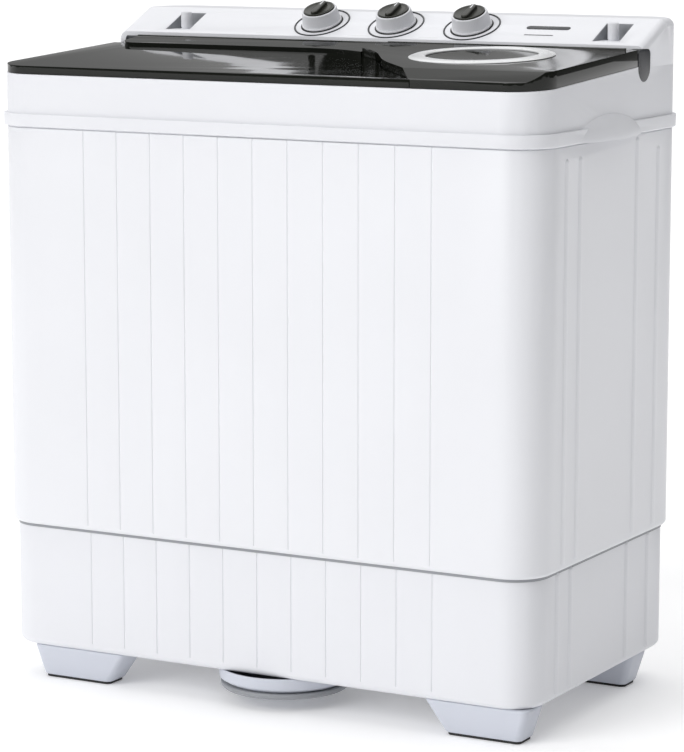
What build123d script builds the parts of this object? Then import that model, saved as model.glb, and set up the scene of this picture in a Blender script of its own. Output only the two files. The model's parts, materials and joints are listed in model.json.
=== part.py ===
from build123d import *
import math
import os

# Twin tub washing machine: a wash tub with a pulsator beside a spin tub with a basket.
# Millimetres, +Z up, +X to the machine's right as seen from the front, front facing -Y.
# The origin is on the floor, under the centre of the casing.

os.makedirs("parts", exist_ok=True)

# ------------------------------------------------------------- driving dimensions
width = 680.0                # cabinet, left to right
depth = 385.0                # cabinet, front to back
corner = 45.0                # upright corner radius of the cabinet
wall = 3.0                   # moulded wall thickness
foot_height = 38.7
base_top = 181.5             # where the cabinet sits on the base
cabinet_top = 636.0
flange_top = 650.4           # top of the band round the upper frame
frame_front_top = 694.3      # upper edge of the frame at the front
console_joint = 706.0        # where the control panel sits on the frame
console_top = 757.0

half_width = width / 2
half_depth = depth / 2

# casing trim
base_inset = 6.0
rim_step = 2.0               # the base rim steps in to pass inside the cabinet
rim_height = 9.0
flange_out = 4.0
groove_pitch = 43.5
groove_count = 11
groove_side = 1.5            # side of the square that cuts a groove
seam = 1.6                   # shadow gap between the cabinet and the band above it
bead_radius = 6.5
bead_proud = 2.2
bead_y = (-122.0, -88.0, 60.0, 118.0)
bead_top = (617.0, 617.0, 627.0, 613.0)

# lids: they lie on the sloping edge of the frame
lid_slope = 3.03
lid_gap = 0.4
lid_thick = 9.0
plateau_rise = 9.6
lid_skin = 2.6
lid_rim = 4.0
lid_front = 2.5              # set back from the cabinet's front
lid_rear_y = 62.0
lid_split_x = 30.0
strip_front_y = 19.0
strip_left_x = -305.0
hinge_y = 67.5
hinge_z = 721.0
hinge_pin_r = 2.5
fit = 0.05                   # radial clearance of a running fit
eye_r = 4.6
eye_width = 8.0

# control panel
face_angle = 24.5
face_y = 106.0               # a point on the sloping face
face_z = 744.0
console_front_y = 75.0
knob_x = (-81.0, 16.5, 114.0)
inlet_x = (-264.5, 290.5)
inlet_y = 103.0

# tubs and drives
wash_x = -144.0
wash_y = -46.0
wash_w = 344.0
wash_d = 260.0
wash_r = 65.0
tub_floor = 196.0
deck_z = 686.0
spin_x = 198.0
spin_y = -42.0
spin_tub_r = 122.0
spin_tub_floor = 214.0
basket_r = 104.0
motor_x = -2.0
motor_y = -120.0
pulley_r = 80.0
motor_pulley_r = 16.0
belt_z = 59.0
belt_width = 7.0
belt_thick = 5.0
shaft_r = 6.0

slope_rise = math.tan(math.radians(lid_slope))
face_normal = Vector(0, -math.sin(math.radians(face_angle)), math.cos(math.radians(face_angle)))
lid_normal = Vector(0, -math.sin(math.radians(lid_slope)), math.cos(math.radians(lid_slope)))
lid_plane = Plane(
    origin=(0, -half_depth, frame_front_top + lid_gap), x_dir=(1, 0, 0), z_dir=lid_normal
)
face_plane = Plane(origin=(0, face_y, face_z), x_dir=(1, 0, 0), z_dir=face_normal)


# ------------------------------------------------------------------------ helpers
def block(w, d, r, z0, z1, mode=Mode.ADD, at=(0, 0)):
    """An upright block with rounded corners."""
    with BuildSketch(Plane.XY.offset(z0)) as outline:
        with Locations(at):
            RectangleRounded(w, d, r)
    extrude(outline.sketch, amount=z1 - z0, mode=mode)


def box(x0, x1, y0, y1, z0, z1, mode=Mode.ADD):
    """A plain box between two corners."""
    with Locations(((x0 + x1) / 2, (y0 + y1) / 2, (z0 + z1) / 2)):
        Box(x1 - x0, y1 - y0, z1 - z0, mode=mode)


def disc(x, y, r, z0, z1, mode=Mode.ADD):
    """An upright cylinder between two heights."""
    with Locations((x, y, (z0 + z1) / 2)):
        Cylinder(r, z1 - z0, mode=mode)


def bar_x(x0, x1, y, z, r, mode=Mode.ADD):
    """A cylinder lying along X."""
    with Locations(((x0 + x1) / 2, y, z)):
        Cylinder(r, abs(x1 - x0), rotation=(0, 90, 0), mode=mode)


def bar_y(x, y0, y1, z, r, mode=Mode.ADD):
    """A cylinder lying along Y."""
    with Locations((x, (y0 + y1) / 2, z)):
        Cylinder(r, abs(y1 - y0), rotation=(90, 0, 0), mode=mode)


def front_grooves(face_at, z0, z1):
    """Fine upright V grooves across the front."""
    with BuildSketch(Plane.XY.offset(z0)) as marks:
        with Locations((0, face_at)):
            with GridLocations(groove_pitch, 1, groove_count, 1):
                Rectangle(groove_side, groove_side, rotation=45)
    extrude(marks.sketch, amount=z1 - z0, mode=Mode.SUBTRACT)


def side_beads(side_at, z0, tops):
    """Upright rounded beads on both sides, each with a domed top."""
    centre = side_at - bead_radius + bead_proud
    for y, top in zip(bead_y, tops):
        for x in (-centre, centre):
            disc(x, y, bead_radius, z0, top)
            with Locations((x, y, top)):
                Sphere(bead_radius)


def edges_at(z):
    """Edges of the piece being built that lie at one height."""
    return edges().filter_by_position(Axis.Z, z - 0.01, z + 0.01)


def save(piece, name):
    piece.part.label = name
    export_step(piece.part, f"parts/{name}.step")


# --------------------------------------------------------------------------- base
base_w = width - 2 * base_inset
base_d = depth - 2 * base_inset
base_r = corner - base_inset
rim_w = base_w - 2 * rim_step
rim_d = base_d - 2 * rim_step
rim_r = base_r - rim_step
base_floor = foot_height + wall
outlet_x = 60.0
outlet_z = 92.0
pocket_half = 27.0
pocket_depth = 22.0

with BuildPart() as base:
    block(base_w, base_d, base_r, foot_height, base_top)
    fillet(base.faces().sort_by(Axis.Z)[0].edges(), radius=8)
    front_grooves(-base_d / 2, foot_height + 10, base_top + 1)
    side_beads(base_w / 2, foot_height + 8, [base_top - bead_radius] * 4)
    block(rim_w, rim_d, rim_r, base_top, base_top + rim_height)
    block(rim_w - 2 * wall, rim_d - 2 * wall, rim_r - wall, base_floor, base_top + rim_height,
          mode=Mode.SUBTRACT)
    # hole over the motor guard, and cooling slots under the spin motor
    disc(motor_x, motor_y, 62, foot_height, base_floor, mode=Mode.SUBTRACT)
    with BuildSketch(Plane.XY.offset(foot_height)):
        with Locations((spin_x, spin_y)):
            with GridLocations(13, 1, 7, 1):
                SlotOverall(60, 6, rotation=90)
    extrude(amount=wall, mode=Mode.SUBTRACT)
    # recess for the drain outlet in the rear wall
    box(outlet_x - pocket_half - wall, outlet_x + pocket_half + wall,
        base_d / 2 - pocket_depth - wall, base_d / 2 - wall,
        outlet_z - pocket_half - wall, outlet_z + pocket_half + wall)
    box(outlet_x - pocket_half, outlet_x + pocket_half, base_d / 2 - pocket_depth, base_d / 2 + 1,
        outlet_z - pocket_half, outlet_z + pocket_half, mode=Mode.SUBTRACT)
    bar_y(outlet_x, base_d / 2 - pocket_depth - wall - 1, base_d / 2, outlet_z, 12.1,
          mode=Mode.SUBTRACT)
save(base, "base")

# --------------------------------------------------------------------------- feet
front_foot_y = -158.0
rear_foot_y = 115.0
pad_thick = 2.5
foot_low_in = 202.0
foot_low_out = 293.0
foot_low_d = 36.0
foot_high_in = 178.0
foot_high_out = 303.0
foot_high_d = 46.0
right_foot_shift = 25.0      # the right pair stands further out than the left pair
pad_margin = 2.0

low_x = (foot_low_in + foot_low_out) / 2
high_x = (foot_high_in + foot_high_out) / 2
foot_places = [
    (side, max(side, 0) * right_foot_shift, foot_y)
    for side in (-1, 1) for foot_y in (front_foot_y, rear_foot_y)
]

with BuildPart() as feet:
    for side, shift, foot_y in foot_places:
        with BuildSketch(Plane.XY.offset(pad_thick)) as foot_low:
            with Locations((side * low_x + shift, foot_y)):
                RectangleRounded(foot_low_out - foot_low_in, foot_low_d, 8)
        with BuildSketch(Plane.XY.offset(foot_height)) as foot_high:
            with Locations((side * high_x + shift, foot_y)):
                RectangleRounded(foot_high_out - foot_high_in, foot_high_d, 8)
        loft([foot_low.sketch, foot_high.sketch])
save(feet, "feet")

with BuildPart() as foot_pads:
    with BuildSketch():
        for side, shift, foot_y in foot_places:
            with Locations((side * low_x + shift, foot_y)):
                RectangleRounded(foot_low_out - foot_low_in - 2 * pad_margin,
                                 foot_low_d - 2 * pad_margin, 6)
    extrude(amount=pad_thick)
save(foot_pads, "foot_pads")

# --------------------------------------------- round guard under the motor pulley
guard_top_r = 76.0
guard_low_r = 74.5
guard_step = 24.0
guard_low = 14.0

with BuildPart() as motor_guard:
    with BuildSketch(Plane(origin=(motor_x, motor_y, 0), x_dir=(1, 0, 0), z_dir=(0, -1, 0))):
        with BuildLine():
            Polyline(
                (0, guard_step - wall), (guard_low_r - 8, guard_step - wall),
                (guard_low_r, guard_step + 2), (guard_top_r, foot_height),
                (guard_top_r - wall, foot_height), (guard_low_r - wall, guard_step + 3),
                (guard_low_r - 10, guard_step), (0, guard_step), close=True,
            )
        make_face()
    revolve(axis=Axis((motor_x, motor_y, 0), (0, 0, 1)))
save(motor_guard, "motor_guard")

with BuildPart() as guard_rim:
    disc(motor_x, motor_y, guard_low_r - 1.5, guard_low, guard_step - wall)
    chamfer(guard_rim.faces().sort_by(Axis.Z)[0].edges(), length=3)
    disc(motor_x, motor_y, guard_low_r - 14, guard_low, guard_step - wall, mode=Mode.SUBTRACT)
save(guard_rim, "guard_rim")

# ------------------------------------------------------------------------ cabinet
window_half = 205.0
window_low = 225.0
window_high = 560.0

with BuildPart() as cabinet:
    block(width, depth, corner, base_top, cabinet_top)
    fillet(cabinet.faces().sort_by(Axis.Z)[0].edges(), radius=5)
    front_grooves(-half_depth, base_top + 6, cabinet_top)
    side_beads(half_width, base_top + 8, bead_top)
    block(rim_w + 1, rim_d + 1, rim_r + 0.5, base_top, base_top + wall, mode=Mode.SUBTRACT)
    block(width - 2 * wall, depth - 2 * wall, corner - wall, base_top + wall, cabinet_top,
          mode=Mode.SUBTRACT)
    box(-window_half, window_half, half_depth - 2 * wall, half_depth + 1, window_low,
        window_high, mode=Mode.SUBTRACT)
    # shadow gap round the cabinet's upper edge
    with BuildSketch(Plane.XY.offset(cabinet_top - seam)):
        RectangleRounded(width + 4 * bead_radius, depth + 10, corner)
        RectangleRounded(width - 2 * seam, depth - 2 * seam, corner - seam, mode=Mode.SUBTRACT)
    extrude(amount=seam, mode=Mode.SUBTRACT)
    # rounded hole for the mains lead's gland
    bar_y(-250, half_depth - 2 * wall, half_depth + 1, 600, 8.2, mode=Mode.SUBTRACT)
save(cabinet, "cabinet")

cover_thick = 2.0
cover_lap = 12.0
louvre_pitch = 14.0

with BuildPart() as rear_cover:
    box(-window_half - cover_lap, window_half + cover_lap, half_depth, half_depth + cover_thick,
        window_low - cover_lap, window_high + cover_lap)
    fillet(rear_cover.edges().filter_by(Axis.Y), radius=8)
    with BuildSketch(Plane.XZ.offset(-half_depth)):
        with Locations((-95, 300), (95, 300)):
            with GridLocations(1, louvre_pitch, 1, 8):
                SlotOverall(110, 5)
    extrude(amount=-cover_thick, mode=Mode.SUBTRACT)
save(rear_cover, "rear_cover")

cover_screws_x = (-window_half - 6, 0, window_half + 6)
with BuildPart() as cover_screws:
    for z in (window_low - 6, window_high + 6):
        for x in cover_screws_x:
            bar_y(x, half_depth + cover_thick, half_depth + cover_thick + 1.6, z, 4)
save(cover_screws, "cover_screws")

with BuildPart() as cord_gland:
    bar_y(-250, half_depth - 14, half_depth + 3.5, 600, 8)
    bar_y(-250, half_depth, half_depth + 2, 600, 11)
    bar_y(-250, half_depth - 15, half_depth + 4, 600, 4, mode=Mode.SUBTRACT)
save(cord_gland, "cord_gland")

# ---------------------------------------------------------------------- top frame
frame_stock_top = 715.0
deck_rear_y = 79.0
opening_w = 333.0
opening_d = 218.0
opening_x = -144.5
opening_y = -60.0
opening_r = 55.0
spin_opening_r = 95.0
collar = 3.0
collar_height = 3.0
handle_y = -16.5
handle_half = 87.5
handle_axis_x = half_width - 12.0
handle_reach = 29.0          # radius of the bulge about its own lengthwise axis
handle_end = 12.0
finger_half = 42.0           # half length of the pocket for the fingers
finger_high = 16.0
finger_room = 6.0            # depth of the pocket behind the cabinet's wall
bracket_x = half_width - 14.0
bracket_y = 76.0
bracket_z = 707.0
bracket_r = 16.0
bracket_top = 726.0
bracket_corner = 6.0
bracket_fit = 0.4
low_bracket_x = -324.0       # the left bracket is lower, under the wash lid's edge
low_bracket_front = 63.0
low_bracket_top = 716.5
spout_z = deck_z + 11.0
inlet_r = 6.4


def handle_form(shrink):
    """A barrel lying along Y: an arc spun round its own chord."""
    with BuildPart() as barrel:
        with BuildSketch(Plane.XY.offset(cabinet_top)):
            with BuildLine():
                ThreePointArc(
                    (handle_axis_x + handle_end - shrink, handle_y - handle_half + shrink),
                    (handle_axis_x + handle_reach - shrink, handle_y),
                    (handle_axis_x + handle_end - shrink, handle_y + handle_half - shrink),
                )
                Polyline(
                    (handle_axis_x + handle_end - shrink, handle_y + handle_half - shrink),
                    (handle_axis_x, handle_y + handle_half - shrink),
                    (handle_axis_x, handle_y - handle_half + shrink),
                    (handle_axis_x + handle_end - shrink, handle_y - handle_half + shrink),
                )
            make_face()
        revolve(axis=Axis((handle_axis_x, 0, cabinet_top), (0, 1, 0)))
    return barrel.part


handle_outer = handle_form(0)
handle_inner = handle_form(wall)
handle_side = Plane.YZ.offset(half_width - wall)
bulge = split(handle_outer, bisect_by=handle_side, keep=Keep.TOP)
bulge = split(bulge, bisect_by=Plane.XY.offset(cabinet_top), keep=Keep.TOP)
hollow = split(handle_inner, bisect_by=Plane.YZ.offset(half_width), keep=Keep.TOP)


def bracket_outline(inner_x, extra, front=bracket_y - bracket_r, top=bracket_top):
    """Side outline of a hinge bracket: a round foot under a square shoulder."""
    rear = bracket_y + bracket_r + extra
    front = front - extra
    top = top + extra
    low = bracket_z - bracket_r - extra
    with BuildSketch(Plane.YZ.offset(inner_x)) as outline:
        with Locations((bracket_y, bracket_z)):
            Circle(bracket_r + extra)
        with Locations(((front + rear) / 2, (bracket_z + top) / 2)):
            Rectangle(rear - front, top - bracket_z)
        with Locations(((front + rear) / 2, (low + top) / 2)):
            Rectangle(rear - front, top - low, mode=Mode.INTERSECT)
        fillet(outline.vertices().group_by(Axis.Y)[-1].sort_by(Axis.X)[-1],
               bracket_corner + extra)
    return outline.sketch


def cut_bracket_seats():
    """Take the seats of both hinge brackets out of the part being built."""
    extrude(bracket_outline(bracket_x - bracket_fit, bracket_fit), amount=width,
            mode=Mode.SUBTRACT)
    extrude(bracket_outline(low_bracket_x + bracket_fit, bracket_fit, low_bracket_front,
                            low_bracket_top),
            amount=-width, mode=Mode.SUBTRACT)


with BuildPart() as top_frame:
    block(width, depth, corner, cabinet_top, frame_stock_top)
    block(width + 2 * flange_out, depth + 2 * flange_out, corner + flange_out, cabinet_top,
          flange_top)
    fillet(
        top_frame.edges().filter_by_position(Axis.Z, cabinet_top - 1, cabinet_top + 1), radius=2
    )
    block(width - 2 * wall, depth - 2 * wall, corner - wall, cabinet_top, frame_stock_top,
          mode=Mode.SUBTRACT)
    # sloping upper edge, then the level seat of the control panel
    with BuildSketch(Plane.YZ):
        with BuildLine():
            Polyline(
                (-260, frame_front_top + slope_rise * (half_depth - 260)),
                (lid_rear_y, frame_front_top + slope_rise * (lid_rear_y + half_depth)),
                (lid_rear_y, console_joint), (260, console_joint), (260, 800), (-260, 800),
                close=True,
            )
        make_face()
    extrude(amount=width, both=True, mode=Mode.SUBTRACT)
    # carrying handles: a bulge outside and a shallow pocket inside, open from below
    for mirrored in (False, True):
        add(mirror(bulge, about=Plane.YZ) if mirrored else bulge)
        side = -1 if mirrored else 1
        inner_x = side * (half_width - 2 * wall - finger_room)
        outer_x = side * (half_width - 1)
        box(min(inner_x, outer_x), max(inner_x, outer_x), handle_y - finger_half - wall,
            handle_y + finger_half + wall, cabinet_top, cabinet_top + finger_high + wall)
        add(mirror(hollow, about=Plane.YZ) if mirrored else hollow, mode=Mode.SUBTRACT)
        inner_x = side * (half_width - wall - finger_room)
        outer_x = side * half_width
        box(min(inner_x, outer_x), max(inner_x, outer_x), handle_y - finger_half,
            handle_y + finger_half, cabinet_top + wall, cabinet_top + finger_high,
            mode=Mode.SUBTRACT)
    cut_bracket_seats()
save(top_frame, "top_frame")

# ----------------------------------------------------- deck with the tub openings
deck_gap = 0.1
deck_half_w = half_width - wall - deck_gap
deck_half_d = half_depth - wall - deck_gap
deck_corner = corner - wall - deck_gap
collar_top = deck_z + wall + collar_height

with BuildPart() as tub_deck:
    # the deck stops behind the tubs, leaving a dry space under the control panel
    with BuildSketch(Plane.XY.offset(deck_z)):
        RectangleRounded(2 * deck_half_w, 2 * deck_half_d, deck_corner)
        with Locations((0, deck_rear_y - half_depth)):
            Rectangle(width, depth, mode=Mode.INTERSECT)
    extrude(amount=wall)
    block(opening_w + 2 * collar, opening_d + 2 * collar, opening_r + collar, deck_z,
          collar_top, at=(opening_x, opening_y))
    block(opening_w, opening_d, opening_r, deck_z, collar_top, mode=Mode.SUBTRACT,
          at=(opening_x, opening_y))
    disc(spin_x, spin_y, spin_opening_r + collar, deck_z, collar_top)
    disc(spin_x, spin_y, spin_opening_r, deck_z, collar_top, mode=Mode.SUBTRACT)
    # partition at the rear, with holes for the inlet spouts
    box(low_bracket_x + bracket_fit, bracket_x - bracket_fit, deck_rear_y - wall, deck_rear_y,
        deck_z, console_joint - deck_gap)
    for x in inlet_x:
        bar_y(x, deck_rear_y - wall - 1, deck_rear_y + 1, spout_z, inlet_r + 0.2,
              mode=Mode.SUBTRACT)
save(tub_deck, "tub_deck")

# ------------------------------------------------------------------ control panel
face_rise = math.tan(math.radians(face_angle))
console_front_z = face_z - (face_y - console_front_y) * face_rise
crest_y = face_y + (console_top - face_z) / face_rise
console_round = 9.0
pocket_w = 33.0
pocket_front_y = 84.0
pocket_rear_y = 122.0
pocket_floor = 733.0


def panel_profile(inset):
    """Side outline of the control panel, pulled in by a wall thickness."""
    drop = inset / math.cos(math.radians(face_angle)) - inset * face_rise
    front = console_front_y + inset
    inner_crest = crest_y + inset * (1 / math.cos(math.radians(face_angle)) - 1) / face_rise
    with BuildSketch(Plane.YZ) as outline:
        with BuildLine():
            Polyline(
                (front, console_joint - 1), (front, console_front_z - drop),
                (inner_crest, console_top - inset),
                (half_depth - inset, console_top - inset), (half_depth - inset, console_joint - 1),
                close=True,
            )
        make_face()
    return outline.sketch


with BuildPart() as panel_form:
    extrude(panel_profile(0), amount=half_width, both=True)
    block(width, depth, corner, console_joint, console_top + 5, mode=Mode.INTERSECT)
    ends = [
        edge for edge in panel_form.edges()
        if abs(edge.center().X) > half_width - 1
        and console_front_z + 5 < edge.center().Z < console_top - 5
        and abs(edge.tangent_at(0.5).Y) > 0.5
    ]
    fillet(
        ends + panel_form.edges().filter_by_position(
            Axis.Z, console_top - 0.1, console_top + 0.1
        ),
        radius=console_round,
    )

with BuildPart() as panel_void:
    extrude(panel_profile(wall), amount=half_width - wall, both=True)
    block(width - 2 * wall, depth - 2 * wall, corner - wall, console_joint - 1, console_top,
          mode=Mode.INTERSECT)
    fillet(
        panel_void.edges().filter_by_position(
            Axis.Z, console_top - wall - 0.1, console_top - wall + 0.1
        ),
        radius=console_round - wall,
    )

with BuildPart() as control_panel:
    add(panel_form.part)
    add(panel_void.part, mode=Mode.SUBTRACT)
    for x in inlet_x:
        box(x - pocket_w / 2 - wall, x + pocket_w / 2 + wall, pocket_front_y - 4,
            pocket_rear_y + wall, pocket_floor - wall, console_top)
    add(panel_form.part, mode=Mode.INTERSECT)
    for x in inlet_x:
        box(x - pocket_w / 2, x + pocket_w / 2, pocket_front_y - 4, pocket_rear_y, pocket_floor,
            console_top + 1, mode=Mode.SUBTRACT)
        disc(x, inlet_y, inlet_r + 0.2, pocket_floor - wall - 1, pocket_floor + 1,
             mode=Mode.SUBTRACT)
    with BuildSketch(face_plane):
        with Locations([(x, 0) for x in knob_x]):
            Circle(6.2)
    extrude(amount=8, both=True, mode=Mode.SUBTRACT)
    cut_bracket_seats()
save(control_panel, "control_panel")

# ---------------------------------------------------------- water inlets and dials
spout_y = deck_rear_y - 10
inlet_tip_z = 753.0
inlet_bore = inlet_r - 2.0
inlet_neck_r = inlet_r - 0.5     # the stem is thinner where it passes the panel
inlet_neck_top = pocket_floor + 2.0

with BuildPart() as water_inlets:
    for x in inlet_x:
        disc(x, inlet_y, inlet_r, inlet_neck_top, inlet_tip_z)
    chamfer(edges_at(inlet_tip_z), length=0.8)
    for x in inlet_x:
        disc(x, inlet_y, inlet_neck_r, spout_z, inlet_neck_top)
        disc(x, inlet_y, 11, pocket_floor - wall - 3, pocket_floor - wall)
        bar_y(x, spout_y, inlet_y, spout_z, inlet_neck_r)
        with Locations((x, inlet_y, spout_z)):
            Sphere(inlet_neck_r)
        disc(x, inlet_y, inlet_bore, spout_z, inlet_tip_z, mode=Mode.SUBTRACT)
        bar_y(x, spout_y - 1, inlet_y, spout_z, inlet_bore, mode=Mode.SUBTRACT)
save(water_inlets, "water_inlets")

dial_r = 33.4
dial_inner_r = 31.4
dial_height = 1.0
with BuildPart() as dial_rings:
    with BuildSketch(face_plane):
        with Locations([(x, 0) for x in knob_x]):
            Circle(dial_r)
            Circle(dial_inner_r, mode=Mode.SUBTRACT)
    extrude(amount=dial_height)
save(dial_rings, "dial_rings")

# --------------------------------------------- knobs, and what they turn from behind
knob_names = ("wash_timer", "wash_selector", "spin_timer")
knob_low_r = 23.5
knob_top_r = 20.5
knob_gap = 0.8
knob_height = 17.0
knob_cap_r = 18.0
cap_sink = 1.5
cap_thick = 3.0
grip_length = 30.0
grip_width = 6.0
grip_height = 2.6
stem_r = 4.0
stem_length = 24.0
timer_w = 54.0
timer_d = 44.0
timer_deep = 26.0
neck_r = 5.8

for name, x in zip(knob_names, knob_x):
    with BuildPart() as switch:
        with BuildSketch(face_plane.offset(-wall - timer_deep)):
            with Locations((x, 0)):
                RectangleRounded(timer_w, timer_d, 4)
        extrude(amount=timer_deep)
        with BuildSketch(face_plane.offset(-wall)):
            with Locations((x, 0)):
                Circle(neck_r)
        extrude(amount=wall)
        with BuildSketch(face_plane.offset(-stem_length - 1)):
            with Locations((x, 0)):
                Circle(stem_r + fit)
        extrude(amount=stem_length + 2, mode=Mode.SUBTRACT)
    save(switch, name)

    with BuildPart() as knob:
        with BuildSketch(face_plane.offset(knob_gap)):
            with Locations((x, 0)):
                Circle(knob_low_r)
        with BuildSketch(face_plane.offset(knob_gap + knob_height)):
            with Locations((x, 0)):
                Circle(knob_top_r)
        loft()
        with BuildSketch(face_plane.offset(knob_gap + knob_height - cap_sink)):
            with Locations((x, 0)):
                Circle(knob_cap_r)
        extrude(amount=cap_sink, mode=Mode.SUBTRACT)
        with BuildSketch(face_plane.offset(-stem_length)):
            with Locations((x, 0)):
                Circle(stem_r)
        extrude(amount=stem_length + knob_gap + 1)
    save(knob, f"{name}_knob")

    with BuildPart() as cap:
        with BuildSketch(face_plane.offset(knob_gap + knob_height - cap_sink)):
            with Locations((x, 0)):
                Circle(knob_cap_r)
        extrude(amount=cap_thick)
        with BuildSketch(face_plane.offset(knob_gap + knob_height - cap_sink + cap_thick)):
            with Locations((x, 0)):
                SlotOverall(grip_length, grip_width, rotation=90)
        extrude(amount=grip_height)
    save(cap, f"{name}_cap")

# ----------------------------------------------------------------- hinge brackets
post_half = 6.0
post_r = 4.5
post_x = lid_split_x - 14.0
left_post_x = -318.0
left_post_half = 7.0
posts = ((left_post_x, left_post_half), (post_x, post_half))

with BuildPart() as hinge_brackets:
    extrude(bracket_outline(bracket_x, 0), amount=half_width - bracket_x)
    extrude(bracket_outline(low_bracket_x, 0, low_bracket_front, low_bracket_top),
            amount=-half_width - low_bracket_x)
    chamfer(
        hinge_brackets.edges().filter_by(Axis.X).group_by(Axis.Z)[-1].sort_by(Axis.Y)[0], length=4
    )
    # foot down to the deck, inside the frame's wall
    box(bracket_x, half_width - wall - 0.5, bracket_y - 8, bracket_y + 2, deck_z + wall,
        bracket_z)
    # posts at the left end and between the two lids
    for x, half in posts:
        box(x - half, x + half, hinge_y - post_r, console_front_y - 0.5, deck_z + wall,
            hinge_z - 5)
        box(x - half, x + half, hinge_y - post_r, hinge_y + post_r, hinge_z - 5, hinge_z)
        bar_x(x - half, x + half, hinge_y, hinge_z, post_r)
    bar_x(bracket_x, bracket_x + 11, hinge_y, hinge_z, hinge_pin_r + fit, mode=Mode.SUBTRACT)
    for x, half in posts:
        bar_x(x - half - 1, x + half + 1, hinge_y, hinge_z, hinge_pin_r + fit,
              mode=Mode.SUBTRACT)
save(hinge_brackets, "hinge_brackets")

# --------------------------------------------------------------------------- lids
lid_corner = 43.0
lid_rear = lid_rear_y + half_depth
split_front_x = 189.0
split_gap = 1.0
split_gap_rear = 1.5         # more room where the spin lid's rear part swings forward
split_curve = ((160, 34), (112, 87), (63, 160), (lid_split_x, 190))
notch_rear = bracket_y - bracket_r - 1.5 + half_depth


def lid_hinge(x0, x1, pin_to):
    """A hinge eye on the lid's rear edge, with its pin reaching to pin_to."""
    bar_x(x0, x1, hinge_y, hinge_z, eye_r)
    box(x0, x1, lid_rear_y - 6, hinge_y, hinge_z - 4, hinge_z + 3.5)
    start = x1 if pin_to > x1 else x0
    bar_x(min(start, pin_to), max(start, pin_to), hinge_y, hinge_z, hinge_pin_r)


def wash_outline(inset):
    """Plan of the wash lid in its own sloping plane."""
    left = -half_width + inset
    with BuildSketch() as outline:
        with BuildLine():
            edge = Spline((split_front_x - inset, lid_front + inset),
                          *[(x - inset, v) for x, v in split_curve])
            Polyline(
                edge @ 1, (lid_split_x - inset, lid_rear - inset),
                (left, lid_rear - inset), (left, lid_front + inset), edge @ 0,
            )
        make_face()
        fillet(outline.vertices().group_by(Axis.X)[0].sort_by(Axis.Y)[0], lid_corner - inset)
    return outline.sketch


def strip_outline(inset):
    """Plan of the raised strip along the wash lid's rear edge."""
    front = strip_front_y + half_depth + inset
    with BuildSketch() as outline:
        with BuildLine():
            bend = Spline(
                (lid_split_x - inset, 190 + 1.5 * inset), (-6, 205 + inset), (-62, front),
                tangents=((-1, 0.5), (-1, 0)),
            )
            Polyline(
                bend @ 1, (strip_left_x + inset, front), (strip_left_x + inset, lid_rear - inset),
                (lid_split_x - inset, lid_rear - inset), bend @ 0,
            )
        make_face()
        fillet(outline.vertices().group_by(Axis.X)[0].sort_by(Axis.Y)[0], 16 - inset)
    return outline.sketch


def spin_outline(inset):
    """Plan of the spin lid in its own sloping plane."""
    left = lid_split_x + split_gap + inset
    right = half_width - inset
    with BuildSketch() as outline:
        with BuildLine():
            edge = Spline((split_front_x + split_gap + inset, lid_front + inset),
                          *[(x + split_gap + inset, v + split_gap_rear) for x, v in split_curve])
            Polyline(
                edge @ 1, (left, lid_rear - inset), (bracket_x - 1 - inset, lid_rear - inset),
                (bracket_x - 1 - inset, notch_rear - inset), (right, notch_rear - inset),
                (right, lid_front + inset), edge @ 0,
            )
        make_face()
        fillet(outline.vertices().group_by(Axis.X)[-1].sort_by(Axis.Y)[0], lid_corner - inset)
    return outline.sketch


def raised(sketch, z0, z1, mode=Mode.ADD):
    """Extrude a flat outline between two heights above the lids' plane."""
    extrude(lid_plane.offset(z0) * sketch, amount=z1 - z0, mode=mode)


def rear_lip(x0, x1):
    """A low lip that stands along a lid's rear edge."""
    with BuildSketch(lid_plane.offset(lid_top - 1)) as lip:
        with Locations(((x0 + x1) / 2, lid_rear - lip_width / 2)):
            Rectangle(x1 - x0, lip_width)
    extrude(lip.sketch, amount=lip_height + 1)


lid_top = lid_thick + plateau_rise
lip_width = 2.4
lip_height = 1.2
eye_inset = 1.0

with BuildPart() as wash_lid:
    raised(wash_outline(0), 0, lid_thick)
    raised(strip_outline(0), lid_thick, lid_top)
    rear_lip(strip_left_x, lid_split_x)
    raised(wash_outline(lid_rim), 0, lid_thick - lid_skin, mode=Mode.SUBTRACT)
    raised(strip_outline(lid_rim), 0, lid_top - lid_skin, mode=Mode.SUBTRACT)
    left_eye = left_post_x + left_post_half + eye_inset
    lid_hinge(left_eye, left_eye + eye_width, left_post_x - left_post_half + 1)
    lid_hinge(post_x - post_half - 1 - eye_width, post_x - post_half - 1, post_x - 1)
save(wash_lid, "wash_lid")

bevel_low = 10.0
bevel_high = 27.0

with BuildPart() as spin_lid:
    raised(spin_outline(0), 0, lid_top)
    # sloping bevel along the front edge
    with BuildSketch(Plane(origin=lid_plane.origin, x_dir=lid_plane.y_dir, z_dir=(1, 0, 0))):
        with BuildLine():
            Polyline((-20, lid_thick), (bevel_low, lid_thick), (bevel_high, lid_top),
                     (bevel_high, lid_top + 20), (-20, lid_top + 20), close=True)
        make_face()
    extrude(amount=width, both=True, mode=Mode.SUBTRACT)
    raised(spin_outline(lid_rim), 0, lid_thick - lid_skin, mode=Mode.SUBTRACT)
    with BuildSketch() as under:
        add(spin_outline(lid_rim))
        with Locations((0, bevel_high + half_depth)):
            Rectangle(2 * width, depth, mode=Mode.INTERSECT)
    raised(under.sketch, 0, lid_top - lid_skin, mode=Mode.SUBTRACT)
    rear_lip(lid_split_x + split_gap, bracket_x - 1)
    lid_hinge(post_x + post_half + 9, post_x + post_half + 9 + eye_width, post_x + 1)
    lid_hinge(bracket_x - 1.5 - eye_width, bracket_x - 1.5, bracket_x + 10)
save(spin_lid, "spin_lid")

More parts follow.
